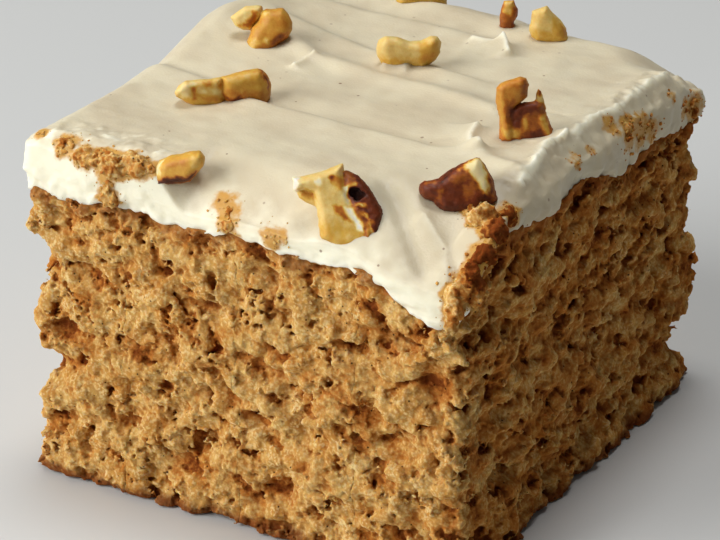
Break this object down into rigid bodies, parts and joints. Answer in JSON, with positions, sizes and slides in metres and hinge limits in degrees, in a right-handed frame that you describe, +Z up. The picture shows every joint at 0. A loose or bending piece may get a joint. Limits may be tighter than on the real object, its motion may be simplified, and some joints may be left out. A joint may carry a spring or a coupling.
{
  "type": "slice of applesauce spice cake",
  "caption": "Square cut slice of spiced crumb cake with a thick knife-spread frosting layer and chopped walnut pieces on top.",
  "frame": {"origin": "centre of the slice's bounding box, on the surface that it stands on", "axes": "+Z up, -Y out of the well lit cut face with the frosting's drooping corner at its right end, +X out of the shaded cut face"},
  "size_m": [0.0704, 0.0744, 0.0587],
  "materials": {
    "crumb": "open baked crumb, dull, torn where it was cut",
    "frosting": "smooth spread cream, soft satin sheen, fine spice specks",
    "walnut": "broken kernel, waxy pale flesh with dull brown skin"
  },
  "bodies": {
    "root": {"crumb": "crumb", "frosting": "frosting", "walnut_back_left": "walnut", "walnut_long": "walnut", "walnut_in_edge": "walnut", "walnut_front": "walnut", "walnut_dark": "walnut", "walnut_curled": "walnut", "walnut_pale": "walnut", "walnut_upright": "walnut", "walnut_back_right": "walnut", "walnut_far": "walnut"}
  },
  "joints": []
}
